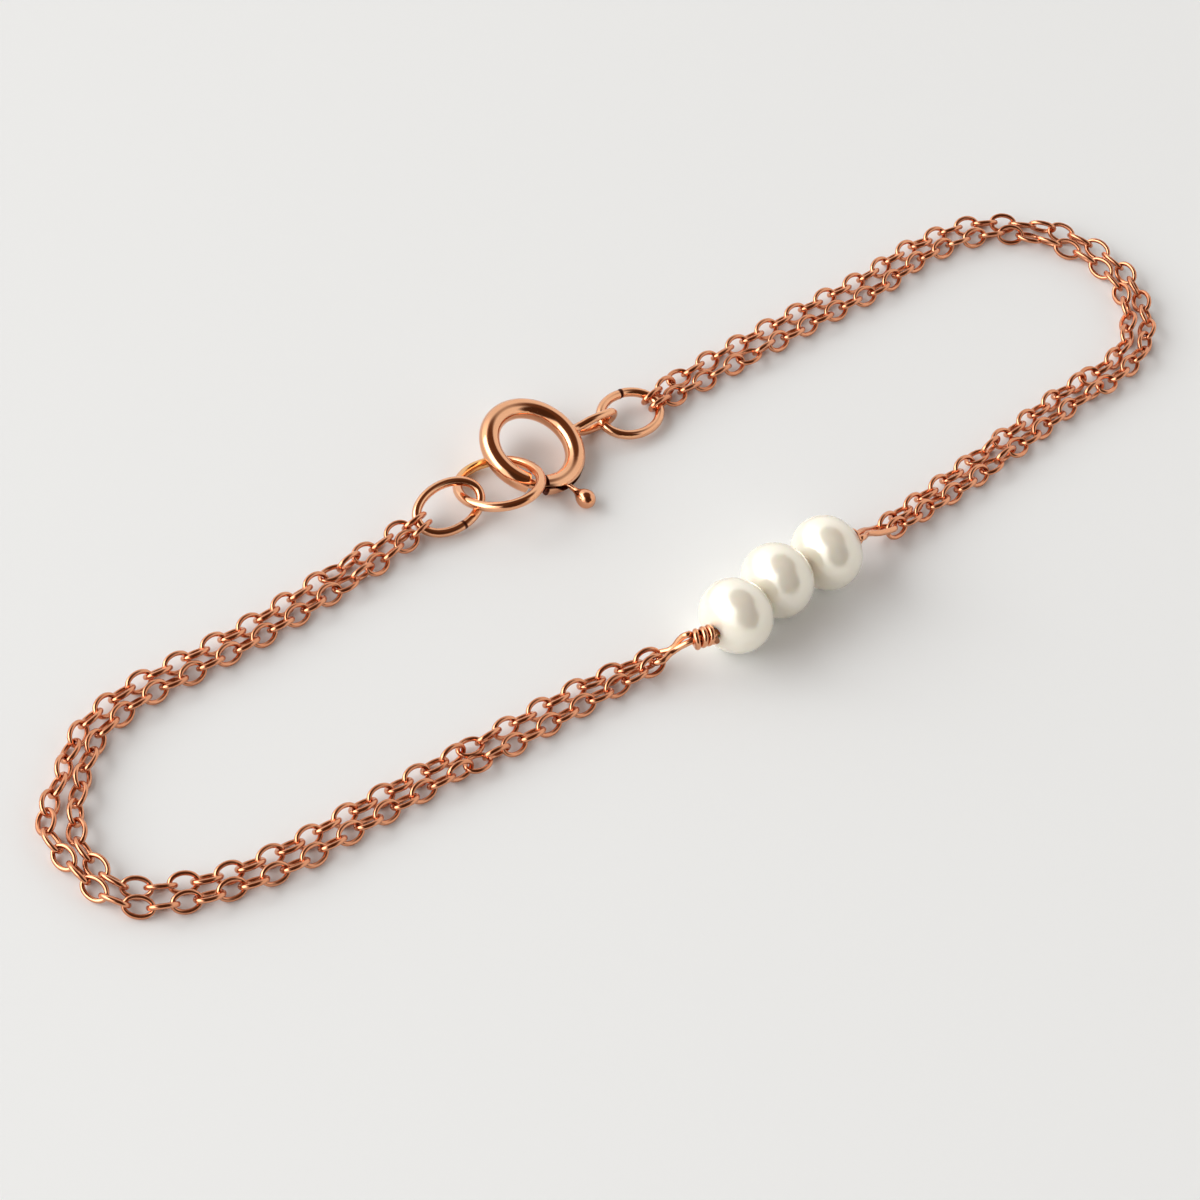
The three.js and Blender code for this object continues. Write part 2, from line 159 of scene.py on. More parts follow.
def mesh_of(skin, name):
    """The plain mesh of a skin that is finished with."""
    mesh = bpy.data.meshes.new(name)
    skin.to_mesh(mesh)
    skin.free()
    return mesh


def skin_over(loops, name, joined=False):
    """A closed mesh over loops of points in millimetres, with its ends capped or joined together."""
    skin = bmesh.new()
    rows = [[skin.verts.new(point * MM) for point in loop] for loop in loops]
    following = rows[1:] + rows[:1] if joined else rows[1:]
    for row, after in zip(rows, following):
        for side in range(len(row)):
            further = (side + 1) % len(row)
            skin.faces.new((row[side], after[side], after[further], row[further]))
    if not joined:
        skin.faces.new(rows[0])
        skin.faces.new(rows[-1][::-1])
    bmesh.ops.recalc_face_normals(skin, faces=skin.faces)
    return mesh_of(skin, name)


def make_piece(name, mesh, material, crease=40.0):
    """A shaded object of a finished mesh, sharp only where faces meet at more than the crease."""
    mesh.materials.clear()
    mesh.materials.append(material)
    mesh.shade_smooth()
    mesh.set_sharp_from_angle(angle=math.radians(crease))
    piece = bpy.data.objects.new(name, mesh)
    bpy.context.collection.objects.link(piece)
    return piece


NACRE = nacre()
for order, (name, bearing) in enumerate(PEARL_BEARINGS.items()):
    place = Matrix.Translation(middle_of(name)) @ Matrix.Rotation(math.radians(bearing), 4, "Z")
    place @= Matrix.Rotation(math.pi / 2, 4, "Y")
    # Each pearl takes its unevenness from another part of the noise.
    apart = Vector((7.0 * order, 3.0, 0.0))
    loops = []
    for step in range(PEARL_STEPS):
        angle = 2 * math.pi * step / PEARL_STEPS
        loop = []
        for radius, height in pearl_profile():
            point = Vector((radius * math.cos(angle), radius * math.sin(angle), height))
            # Pearls are grown, not turned, so the outside is a little off round.
            swell = 1.0 - OFF_ROUND * (1.0 + noise.noise(point * SWELLS_PER_MM + apart))
            loop.append(place @ (point * swell))
        loops.append(loop)
    piece = make_piece(name + "_nacre", skin_over(loops, name + "_nacre", joined=True), NACRE)
    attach(piece, "bracelet")
    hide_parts(name)


# --------------------------------------------------------------------------- pearls' wire
# One soft rose-gold wire goes through all three pearls. At each end it runs out, turns back
# round a narrow eye that holds the two chains, and is wrapped on itself against the pearl.
WIRE_THICKNESS = 0.34
WIRE_SIDES = 16
WRAP_RADIUS = 0.39
WRAP_PITCH = 0.345
WRAP_START = 0.15
WRAP_STEPS = 12
CUT_END_RADIUS = 0.45
CUT_END_TURN = 25
EYE_HALF_WIDTH = 0.5
EYE_LEAVING = 0.18
EYE_STEPS = 12
# An end's line is the middle of its wraps and its eye; the leans turn the eye about that line,
# and the wraps begin at their own angle.
WIRE_ENDS = {
    "left": {
        "wraps": 3.56,
        "from": -80,
        "lean": 240,
        "tip_lean": 240,
        "eye_length": 1.15,
        "line": [(-2.50, -8.62, 2.06), (-3.55, -8.40, 2.00), (-4.55, -7.84, 1.14), (-5.65, -7.60, 0.66)],
    },
    "right": {
        "wraps": 0.9,
        "from": 0,
        "lean": -85,
        "tip_lean": -55,
        "eye_length": 2.6,
        "line": [(8.26, -7.14, 2.06), (8.98, -6.98, 1.92), (10.65, -6.88, 1.18), (12.00, -6.72, 0.66)],
    },
}
# A draw line is some forty times as long as it is wide: this is its pattern's run in a metre.
DRAW_RUN = 150.0
DRAW_LINES = 5.0
GOLD_DRIFT = 520.0
GOLD_GRAIN = 3500.0
SOFT_DRAWN = {"light": (0.84, 0.43, 0.25), "dark": (0.72, 0.30, 0.15)}
UP = Vector((0.0, 0.0, 1.0))


def rose_gold(name, light, dark, smooth, worn, drawn=True):
    """Rose gold: a slow drift of colour, with draw lines or a fine grain and a little wear."""
    material, tree, shader = new_material(name)
    shader.inputs["Metallic"].default_value = 1.0
    place = add_node(tree, "ShaderNodeTexCoord").outputs["Object"]
    tone = blended(tree, cloudy(tree, place, GOLD_DRIFT, 3.0), dark, light)
    tree.links.new(tone, shader.inputs["Base Color"])
    if drawn:
        along = add_node(tree, "ShaderNodeAttribute", attribute_name="drawn").outputs["Vector"]
        marks = cloudy(tree, along, DRAW_LINES, 6.0)
    else:
        marks = cloudy(tree, place, GOLD_GRAIN, 5.0)
    marked_surface(tree, shader, marks, smooth, worn, strength=0.15)
    return material


def reckon(tree, operation, first, second=0.0):
    """One step of arithmetic inside a tree."""
    return add_node(tree, "ShaderNodeMath", {0: first, 1: second}, operation=operation).outputs[0]


def new_tree(name, sockets):
    """An empty Geometry Nodes tree with its named inputs and one geometry output."""
    tree = bpy.data.node_groups.new(name, "GeometryNodeTree")
    tree.is_modifier = True
    tree.interface.new_socket("Geometry", in_out="INPUT", socket_type="NodeSocketGeometry")
    for label, kind in sockets.items():
        tree.interface.new_socket(label, in_out="INPUT", socket_type="NodeSocket" + kind)
    tree.interface.new_socket("Geometry", in_out="OUTPUT", socket_type="NodeSocketGeometry")
    return tree, tree.nodes.new("NodeGroupInput").outputs


def end_tree(tree, geometry, finish):
    """Ends a tree: instances become real, take their material and go out."""
    whole = add_node(tree, "GeometryNodeRealizeInstances", {"Geometry": geometry}).outputs[0]
    dressed = add_node(tree, "GeometryNodeSetMaterial", {"Geometry": whole, "Material": finish})
    output = tree.nodes.new("NodeGroupOutput")
    tree.links.new(dressed.outputs[0], output.inputs["Geometry"])


def circle_of(tree, sides, radius):
    """A circle curve inside a tree."""
    inputs = {"Resolution": sides, "Radius": radius}
    return add_node(tree, "GeometryNodeCurvePrimitiveCircle", inputs).outputs["Curve"]


def keep_on(tree, geometry, label, value, kind="FLOAT_VECTOR"):
    """The geometry with a value kept on it under a name."""
    inputs = {"Geometry": geometry, "Name": label, "Value": value}
    return add_node(tree, "GeometryNodeStoreNamedAttribute", inputs, data_type=kind).outputs[0]


def kept_as(tree, label, kind="FLOAT_VECTOR"):
    """The value that is kept under a name."""
    read = add_node(tree, "GeometryNodeInputNamedAttribute", {"Name": label}, data_type=kind)
    return read.outputs["Attribute"]


def drawn_wire_tree():
    """Draws a round wire along a curve, and marks how far along and how far round it is."""
    tree, given = new_tree("drawn wire", {"Thickness": "Float", "Sides": "Int", "Finish": "Material"})
    section = circle_of(tree, given["Sides"], reckon(tree, "MULTIPLY", given["Thickness"], 0.5))
    here = add_node(tree, "GeometryNodeInputPosition").outputs["Position"]
    outward = add_node(tree, "ShaderNodeVectorMath", {0: here}, operation="NORMALIZE").outputs[0]
    section = keep_on(tree, section, "around", outward)
    length = add_node(tree, "GeometryNodeSplineParameter").outputs["Length"]
    line = keep_on(tree, given["Geometry"], "along", length, "FLOAT")
    curves = {"Curve": line, "Profile Curve": section, "Fill Caps": True}
    wire = add_node(tree, "GeometryNodeCurveToMesh", curves).outputs[0]
    run = reckon(tree, "MULTIPLY", kept_as(tree, "along", "FLOAT"), DRAW_RUN)
    around = add_node(tree, "ShaderNodeSeparateXYZ", {0: kept_as(tree, "around")}).outputs
    drawn = add_node(tree, "ShaderNodeCombineXYZ", {"X": run, "Y": around["X"], "Z": around["Y"]})
    end_tree(tree, keep_on(tree, wire, "drawn", drawn.outputs[0]), given["Finish"])
    return tree


def grown(curve_data, tree, values):
    """The plain mesh that a Geometry Nodes tree makes of a curve, with its inputs set."""
    holder = bpy.data.objects.new(curve_data.name, curve_data)
    bpy.context.collection.objects.link(holder)
    modifier = holder.modifiers.new(tree.name, "NODES")
    modifier.node_group = tree
    for item in tree.interface.items_tree:
        if item.in_out == "INPUT" and item.name in values:
            modifier[item.identifier] = values[item.name]
    shown = holder.evaluated_get(bpy.context.evaluated_depsgraph_get())
    mesh = bpy.data.meshes.new_from_object(shown)
    holder.modifiers.remove(modifier)
    bpy.data.objects.remove(holder)
    return mesh


def smooth_line(name, points, closed=False, scales=None, tilts=None, between=4):
    """A curve through points in millimetres, each with its own thickness scale and twist, and
    with so many steps between one point and the next."""
    data = bpy.data.curves.new(name, "CURVE")
    data.dimensions = "3D"
    data.resolution_u = between
    spline = data.splines.new("BEZIER")
    spline.bezier_points.add(len(points) - 1)
    spline.use_cyclic_u = closed
    for index, point in enumerate(points):
        knot = spline.bezier_points[index]
        knot.co = Vector(point) * MM
        knot.handle_left_type = knot.handle_right_type = "AUTO"
        knot.radius = scales[index] if scales else 1.0
        knot.tilt = tilts[index] if tilts else 0.0
    return data


DRAWN_WIRE = drawn_wire_tree()


def drawn_wire(name, points, thickness, sides, finish, closed=False, scales=None):
    """The plain mesh of a round wire along points in millimetres."""
    line = smooth_line(name, points, closed, scales)
    return grown(line, DRAWN_WIRE, {"Thickness": thickness * MM, "Sides": sides, "Finish": finish})


def core_line(end):
    """A function that finds points beside the line of one end, and the line's length."""
    line = smooth_line("core", WIRE_ENDS[end]["line"], between=24)
    holder = bpy.data.objects.new("core", line)
    samples = [vertex.co / MM for vertex in holder.to_mesh().vertices]
    holder.to_mesh_clear()
    bpy.data.objects.remove(holder)
    reach = [0.0]
    for before, after in zip(samples, samples[1:]):
        reach.append(reach[-1] + (after - before).length)
    root_lean, tip_lean = WIRE_ENDS[end]["lean"], WIRE_ENDS[end]["tip_lean"]

    def at(distance, wide, across):
        """The point so far out along the line, moved wide in the eye's plane and across it."""
        lean = math.radians(root_lean + (tip_lean - root_lean) * min(distance / reach[-1], 1.0))
        index = max(i for i in range(len(reach) - 1) if reach[i] <= max(distance, 0.0))
        step = samples[index + 1] - samples[index]
        share = (distance - reach[index]) / step.length
        along = step.normalized()
        level = UP.cross(along).normalized()
        out = along.cross(level) * math.cos(lean) + level * math.sin(lean)
        return samples[index] + step * share + out * wide + along.cross(out) * across

    return at, reach[-1]


def wire_end(end):
    """From the pearl out along the core, round the eye and back to the wraps."""
    at, length = core_line(end)
    wraps = WIRE_ENDS[end]["wraps"]
    wrap_end = WRAP_START + wraps * WRAP_PITCH
    eye_start = length - WIRE_ENDS[end]["eye_length"]
    turn_at = length - EYE_HALF_WIDTH
    middle = (eye_start + turn_at) / 2
    half_open = (EYE_LEAVING + EYE_HALF_WIDTH) / 2
    points = [at(WRAP_START, 0, 0), at(wrap_end, 0, 0)]
    points += [at(eye_start, -EYE_LEAVING, 0), at(middle, -half_open, 0)]
    for step in range(EYE_STEPS + 1):
        angle = math.pi * step / EYE_STEPS
        wide = -EYE_HALF_WIDTH * math.cos(angle)
        points.append(at(turn_at + EYE_HALF_WIDTH * math.sin(angle), wide, 0))
    points += [at(middle, half_open, 0), at(eye_start, EYE_LEAVING, 0)]
    # What goes round the core, as distance out, radius and angle, ends in the wraps.
    begin = math.radians(WIRE_ENDS[end]["from"])
    turns = [(wrap_end + WRAP_PITCH, WRAP_RADIUS, begin)]
    steps = round(WRAP_STEPS * wraps)
    for step in range(steps + 1):
        wrapped = wraps * step / steps
        turns.append((wrap_end - WRAP_PITCH * wrapped, WRAP_RADIUS, begin + 2 * math.pi * wrapped))
    # The cut end is pressed in beside the pearl, a little proud of the last wrap.
    turns.append((WRAP_START, CUT_END_RADIUS, turns[-1][2] + math.radians(CUT_END_TURN)))
    for distance, radius, angle in turns:
        points.append(at(distance, radius * math.cos(angle), radius * math.sin(angle)))
    return points


WIRE_GOLD = rose_gold("rose gold wire", **SOFT_DRAWN, smooth=0.12, worn=0.24)
points = wire_end("left")[::-1] + [Vector(WIRE_ENDS["left"]["line"][0])]
points += [middle_of(name) for name in PEARL_BEARINGS]
points += [Vector(WIRE_ENDS["right"]["line"][0])] + wire_end("right")
mesh = drawn_wire("pearl_wire_line", points, WIRE_THICKNESS, WIRE_SIDES, WIRE_GOLD)
piece = make_piece("wrapped_wire", mesh, WIRE_GOLD)
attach(piece, "bracelet")
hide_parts("pearl_wire")


# --------------------------------------------------------------------------- jump rings
# Two oval jump rings, cut from a coil of round rose-gold wire and squeezed shut: the left one
# gathers its two chains on the end ring and the right one hangs its chains on the clasp's eye.
RINGS = {
    "jump_ring_left": {
        "centre": middle_of("jump_ring_left"),
        "lean_x": 24.3,
        "lean_y": -5.0,
        "turn": 2.9,
        "half_long": 2.00,
        "half_short": 1.23,
        "thickness": 0.50,
        "seam": -86,
        "offset": 0.05,
    },
    "jump_ring_right": {
        "centre": middle_of("jump_ring_right"),
        "lean_x": 7.9,
        "lean_y": 2.8,
        "turn": 3.2,
        "half_long": 1.90,
        "half_short": 1.36,
        "thickness": 0.52,
        "seam": 79,
        "offset": 0.03,
    },
}
SEAM_GAP = 0.05
# How far along the ring, either side of its seam, the painted shade reaches.
SEAM_SHADE_REACH = 0.1
RING_STEPS = 48
RING_SIDES = 20
POLISH = {"light": (0.87, 0.47, 0.28), "dark": (0.79, 0.37, 0.19), "smooth": 0.08, "worn": 0.17}
# The dark rose gold of the painted shade.
SHADE_TONE = {"light": (0.20, 0.06, 0.03), "dark": (0.10, 0.025, 0.012), "smooth": 0.3, "worn": 0.45}


def leaning(ring):
    """Where a ring lies: turned on its own axis, then leant about X and about Y."""
    place = Matrix.Translation(ring["centre"])
    place @= Matrix.Rotation(math.radians(ring["lean_y"]), 4, "Y")
    place @= Matrix.Rotation(math.radians(ring["lean_x"]), 4, "X")
    return place @ Matrix.Rotation(math.radians(ring["turn"]), 4, "Z")


def oval_point(ring, angle, inset=0.0):
    """A point of the ring's centre line, or of the same oval a little way inside it."""
    long, short = ring["half_long"] - inset, ring["half_short"] - inset
    return leaning(ring) @ Vector((long * math.cos(angle), short * math.sin(angle), 0.0))


POLISHED_GOLD = rose_gold("polished rose gold", **POLISH)
# Painted shade: a dark rose gold put in the rings' cut seams and on the clasp's slot, bore, mouth and
# neck.
SHADE_PAINTED_GOLD = rose_gold("painted shade rose gold", **SHADE_TONE)
for name, ring in RINGS.items():
    start = math.radians(ring["seam"]) + SEAM_GAP / (2 * ring["half_short"])
    sweep = 2 * math.pi - SEAM_GAP / ring["half_short"]
    axis = leaning(ring).to_3x3() @ UP
    points = []
    for step in range(RING_STEPS + 1):
        share = step / RING_STEPS
        # The squeezed ends never meet quite true: each one springs a little out of the oval.
        spring = ring["offset"] * (abs(2 * share - 1) ** 6) * (1 if share > 0.5 else -1)
        points.append(oval_point(ring, start + sweep * share) + axis * spring)
    mesh = drawn_wire(name + "_line", points, ring["thickness"], RING_SIDES, POLISHED_GOLD)
    piece = make_piece(name + "_wire", mesh, POLISHED_GOLD)
    piece.data.materials.append(SHADE_PAINTED_GOLD)
    seam = oval_point(ring, math.radians(ring["seam"]))
    along = (oval_point(ring, math.radians(ring["seam"] + 1)) - seam).normalized()
    # The faces at each ring's cut seam take the painted shade, dark like a narrow gap.
    for face in piece.data.polygons:
        offset = face.center / MM - seam
        if offset.length < ring["thickness"] and abs(offset.dot(along)) < SEAM_SHADE_REACH:
            face.material_index = 1
    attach(piece, "bracelet")
    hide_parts(name)


# --------------------------------------------------------------------------- end ring
# A larger round ring of the same wire, soldered shut and polished over, which the clasp
# hooks. It leans the other way, with one side over the clasp's bolt.
END_RING = {
    "centre": middle_of("end_ring"),
    "lean_x": -20.7,
    "lean_y": -5.4,
    "turn": 0.3,
    "half_long": 2.15,
    "half_short": 2.35,
    "thickness": 0.54,
}
# A yellower gold painted on the end ring about one spot: the spot's angle, the distances within which it
# is whole and beyond which it is gone, and its colour.
YELLOW_PATCH = {"angle": 84, "full_within": 0.6, "none_beyond": 1.7, "colour": (0.84, 0.47, 0.19)}


def towards(tree, factor, first, second):
    """One colour going over to another by a factor, where a colour is a value or a socket."""
    mixed = add_node(tree, "ShaderNodeMix", {"Factor": factor}, data_type="RGBA")
    for label, colour in (("A", first), ("B", second)):
        if isinstance(colour, bpy.types.NodeSocket):
            tree.links.new(colour, mixed.inputs[label])
        else:
            mixed.inputs[label].default_value = (*colour, 1.0)
    return mixed.outputs["Result"]


def yellow_near(material, spot):
    """Turns the rose gold to a yellower gold near a spot, in metres."""
    tree = material.node_tree
    base = tree.nodes["Principled BSDF"].inputs["Base Color"]
    place = add_node(tree, "ShaderNodeTexCoord").outputs["Object"]
    away = add_node(tree, "ShaderNodeVectorMath", {0: place, 1: spot}, operation="DISTANCE")
    reach = {"From Min": YELLOW_PATCH["none_beyond"] * MM, "From Max": YELLOW_PATCH["full_within"] * MM}
    patch = add_node(tree, "ShaderNodeMapRange", {"Value": away.outputs["Value"], **reach})
    tone = towards(tree, patch.outputs["Result"], base.links[0].from_socket, YELLOW_PATCH["colour"])
    tree.links.new(tone, base)


RING_GOLD = rose_gold("end ring rose gold", **POLISH)
yellow_near(RING_GOLD, oval_point(END_RING, math.radians(YELLOW_PATCH["angle"])) * MM)
points = [oval_point(END_RING, 2 * math.pi * step / RING_STEPS) for step in range(RING_STEPS)]
mesh = drawn_wire("end_ring_line", points, END_RING["thickness"], RING_SIDES, RING_GOLD, closed=True)
piece = make_piece("end_ring_wire", mesh, RING_GOLD)
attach(piece, "bracelet")
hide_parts("end_ring")


# --------------------------------------------------------------------------- clasp ring
# The spring ring is a thin rose-gold tube bent to a C, with a mouth, and a slot for the thumb
# knob in its outer side. A small eye of wire, standing on edge, is soldered to it as its tail.
CLASP = {"centre": Vector(frame["joints"][0]["pos_m"]) / MM, "lean_x": 13.8, "lean_y": 3.9, "turn": 0}
CLASP_RADIUS = 2.45
TUBE_RADIUS = 0.55
BORE_RADIUS = 0.35
NECK_RADIUS = 0.4
# Faces further in than this below the tube's outside take the painted shade.
SHADE_PAINT_DEPTH = 0.03
# Angles round the clasp, in degrees: the mouth is between the catch and the short neck.
CATCH_EDGE = -131.5
MOUTH_EDGE = -111.0
NECK_EDGE = -108.0
SLOT_TURN = -85.0
SLOT_END = -47.5
# How far the slot takes to climb from its turn towards the mouth, and to close at its round nose.
SLOT_CLIMB = 17.0
SLOT_NOSE = 4.5
SLOT_LIFT = {"knob": 12.0, "mouth": 41.0}
SLOT_HALF_WIDTH = {"knob": 0.19, "mouth": 0.07}
TUBE_STEPS = 120
TUBE_SIDES = 36
SLOT_STEPS = 18
NOSE_STEPS = 6
WELD = 0.002
TAIL = {
    "angle": -0.5,
    "root": 2.72,
    "end": 5.65,
    "root_height": 0.25,
    "half_height": 0.61,
    "level_run": 0.35,
    "first_spread": 0.03,
    "last_spread": 0.04,
    "thickness": 0.46,
}
SOLDER_BUILD = [1.45, 1.25, 1.08]


def clasp_point(angle, lift, away):
    """A point beside the clasp's centre circle, by the angle round it and round the tube."""
    around, up = math.radians(angle), math.radians(lift)
    reach = CLASP_RADIUS + away * math.cos(up)
    flat = Vector((reach * math.cos(around), reach * math.sin(around), away * math.sin(up)))
    return leaning(CLASP) @ flat


def along_slot(angle, sizes):
    """A size that is one thing where the knob runs and another from there to the mouth."""
    share = min(max((SLOT_TURN - angle) / SLOT_CLIMB, 0.0), 1.0)
    share = share * share * (3.0 - 2.0 * share)
    return sizes["knob"] + (sizes["mouth"] - sizes["knob"]) * share


def slot_opening(angle, away):
    """Half the slot's opening, in degrees round the tube's wall at this radius; its end is round."""
    into = (angle - (SLOT_END - SLOT_NOSE)) / SLOT_NOSE
    if into >= 1.0:
        return 0.0
    full = math.degrees(math.asin(along_slot(angle, SLOT_HALF_WIDTH) / away))
    return full * math.sqrt(1.0 - max(into, 0.0) ** 2)


def wall_row(tube, angle, away):
    """A row of the tube's wall, round from one side of the slot to the other."""
    drawn = tube.verts.layers.float_vector["drawn"]
    run = DRAW_RUN * MM * CLASP_RADIUS * math.radians(angle)
    opening = slot_opening(angle, away)
    row = []
    for side in range(TUBE_SIDES + 1):
        lift = along_slot(angle, SLOT_LIFT) + opening + (360.0 - 2 * opening) * side / TUBE_SIDES
        made = tube.verts.new(clasp_point(angle, lift, away) * MM)
        made[drawn] = (run, math.cos(math.radians(lift)), math.sin(math.radians(lift)))
        row.append(made)
    return row


def clasp_tube():
    """The hollow tube with its slot, as one closed wall."""
    nose = [1 - math.sin(math.pi / 2 * k / NOSE_STEPS) for k in range(NOSE_STEPS + 1)]
    nose = [SLOT_END - SLOT_NOSE * left for left in nose]
    straight = [NECK_EDGE + (nose[0] - NECK_EDGE) * k / SLOT_STEPS for k in range(SLOT_STEPS)]
    slotted = [MOUTH_EDGE, NECK_EDGE] + straight + nose
    plain_steps = TUBE_STEPS - len(slotted)
    rest = CATCH_EDGE + 360.0 - SLOT_END
    plain = [SLOT_END + rest * k / plain_steps for k in range(1, plain_steps + 1)]
    tube = bmesh.new()
    tube.verts.layers.float_vector.new("drawn")
    walls = []
    for station, angle in enumerate(slotted + plain):
        # Beside the mouth the tube is turned down to a short neck, which shows as a dark line.
        outside = NECK_RADIUS if station < 2 else TUBE_RADIUS
        walls.append((wall_row(tube, angle, outside), wall_row(tube, angle, BORE_RADIUS)))
    for (outer, inner), (next_outer, next_inner) in zip(walls, walls[1:]):
        for side in range(TUBE_SIDES):
            further = side + 1
            tube.faces.new((outer[side], next_outer[side], next_outer[further], outer[further]))
            tube.faces.new((inner[further], next_inner[further], next_inner[side], inner[side]))
    for (outer, inner), (next_outer, next_inner) in zip(walls, walls[1 : len(slotted)]):
        tube.faces.new((outer[0], inner[0], next_inner[0], next_outer[0]))
        tube.faces.new((next_outer[-1], next_inner[-1], inner[-1], outer[-1]))
    for outer, inner in (walls[0], walls[-1]):
        for side in range(TUBE_SIDES):
            tube.faces.new((outer[side], outer[side + 1], inner[side + 1], inner[side]))
    bmesh.ops.remove_doubles(tube, verts=tube.verts, dist=WELD * MM)
    bmesh.ops.dissolve_degenerate(tube, edges=tube.edges, dist=WELD * MM / 2)
    bmesh.ops.recalc_face_normals(tube, faces=tube.faces)
    return mesh_of(tube, "clasp_tube")


def tail_eye():
    """The tail's wire: out from the tube, round and back, thicker where the solder holds it."""
    root, low, bend = TAIL["root"], -TAIL["root_height"], TAIL["half_height"]
    turn_at = TAIL["end"] - bend
    half_way = (root + turn_at) / 2
    # The two legs leave the tube nearly level, and spread to the bend's full height.
    leg = [(root, low), (root + TAIL["level_run"], low - TAIL["first_spread"])]
    leg.append((half_way, TAIL["last_spread"] - bend))
    curve = []
    for step in range(EYE_STEPS + 1):
        angle = math.pi * (step / EYE_STEPS - 0.5)
        curve.append((turn_at + bend * math.cos(angle), bend * math.sin(angle)))
    other_leg = [(reach, -height) for reach, height in reversed(leg)]
    turned = leaning(CLASP) @ Matrix.Rotation(math.radians(TAIL["angle"]), 4, "Z")
    points = [turned @ Vector((reach, 0.0, height)) for reach, height in leg + curve + other_leg]
    scales = SOLDER_BUILD + [1.0] * len(curve) + SOLDER_BUILD[::-1]
    thick = TAIL["thickness"]
    return drawn_wire("tail_eye_line", points, thick, RING_SIDES, POLISHED_GOLD, scales=scales)


def solder_on(piece, addition):
    """Makes one solid mesh of a piece and an addition, which is then gone."""
    solder = piece.modifiers.new("solder", "BOOLEAN")
    solder.operation = "UNION"
    solder.solver = "EXACT"
    solder.object = addition
    shown = piece.evaluated_get(bpy.context.evaluated_depsgraph_get())
    mesh = bpy.data.meshes.new_from_object(shown)
    piece.modifiers.remove(solder)
    piece.data = mesh
    bpy.data.objects.remove(addition)


piece = make_piece("clasp_tube", clasp_tube(), POLISHED_GOLD)
solder_on(piece, make_piece("tail_eye", tail_eye(), POLISHED_GOLD))
# The neck, the slot's edges, the tube's ends, the bore and the tail's root against the tube take the
# painted shade.
piece.data.materials.append(SHADE_PAINTED_GOLD)
unturned = leaning(CLASP).inverted()
for face in piece.data.polygons:
    middle = unturned @ (face.center / MM)
    around = math.degrees(math.atan2(middle.y, middle.x))
    away = math.hypot(math.hypot(middle.x, middle.y) - CLASP_RADIUS, middle.z)
    if MOUTH_EDGE < around < NECK_EDGE or away < TUBE_RADIUS - SHADE_PAINT_DEPTH:
        face.material_index = 1
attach(piece, "bracelet")
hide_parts("clasp_ring")


# --------------------------------------------------------------------------- clasp bolt
# A solid curved rose-gold rod with domed ends slides in the tube, pushed by a spring behind
# it. Its knob, a short pear of metal, stands out through the slot for the thumbnail.
BOLT_RADIUS = 0.27
BOLT_TIP = -135.5
BOLT_TAIL = -58.0
BOLT_SIDES = 24
DOME_STEPS = 6
ROD_STEPS = 30
KNOB_ANGLE = -81.0
KNOB_LIFT = 13.0
# The distance out from the rod's centre, and the knob's radius there.
KNOB_PROFILE = [
    (0.0, 0.14),
    (0.62, 0.14),
    (0.82, 0.15),
    (1.06, 0.19),
    (1.21, 0.29),
    (1.32, 0.39),
    (1.47, 0.47),
    (1.63, 0.51),
    (1.76, 0.52),
    (1.89, 0.50),
    (2.04, 0.42),
    (2.16, 0.31),
    (2.23, 0.19),
    (2.26, 0.08),
]


def bolt_rod():
    """The curved rod, with both ends domed."""
    dome = math.degrees(BOLT_RADIUS / CLASP_RADIUS)
    curve = [math.pi / 2 * k / DOME_STEPS for k in range(1, DOME_STEPS + 1)]
    domed = [(dome * (1 - math.cos(angle)), math.sin(angle)) for angle in curve]
    straight = BOLT_TAIL - BOLT_TIP - 2 * dome
    stations = [(BOLT_TIP + into, scale) for into, scale in domed]
    stations += [(BOLT_TIP + dome + straight * k / ROD_STEPS, 1.0) for k in range(1, ROD_STEPS)]
    stations += [(BOLT_TAIL - into, scale) for into, scale in reversed(domed)]
    turns = [360.0 * k / BOLT_SIDES for k in range(BOLT_SIDES)]
    loops = []
    for angle, scale in stations:
        loops.append([clasp_point(angle, turn, BOLT_RADIUS * scale) for turn in turns])
    return skin_over(loops, "bolt")


def bolt_knob():
    """The knob, turned about the line that leaves the rod's centre through the slot."""
    root = clasp_point(KNOB_ANGLE, 0, 0)
    axis = (clasp_point(KNOB_ANGLE, KNOB_LIFT, 1.0) - root).normalized()
    across = axis.cross(UP).normalized()
    upright = axis.cross(across)
    spokes = []
    for k in range(BOLT_SIDES):
        turn = 2 * math.pi * k / BOLT_SIDES
        spokes.append(across * math.cos(turn) + upright * math.sin(turn))
    loops = []
    for reach, radius in KNOB_PROFILE:
        loops.append([root + axis * reach + spoke * radius for spoke in spokes])
    return skin_over(loops, "knob")


BOLT_GOLD = rose_gold("bolt rose gold", **SOFT_DRAWN, smooth=0.10, worn=0.20, drawn=False)
piece = make_piece("clasp_bolt_and_knob", bolt_rod(), BOLT_GOLD)
solder_on(piece, make_piece("knob", bolt_knob(), BOLT_GOLD))
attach(piece, "bolt")
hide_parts("clasp_bolt")


# --------------------------------------------------------------------------- chains
# Fine cable chain: oval links of round rose-gold wire, each a quarter turn from the last, so
# that they lie on the table tipped half over to one side and the other in turn.
LINK_LENGTH = 1.71
LINK_WIDTH = 1.22
LINK_THICKNESS = 0.27
LINK_PITCH = 1.165
LINK_STEPS = 10
LINK_SIDES = 5
LINK_LOOSENESS = 8.0
CHAIN_TONE = {"light": (0.80, 0.38, 0.22), "dark": (0.62, 0.23, 0.11)}
# How fast, from link to link, the roll of a hooked end link dies away.
ROLL_EASE = 0.3
HOOK_REACH = 0.73
PAIR_NESTING = 0.04
RING_INSET = 0.55
EYE_INSET = 0.6
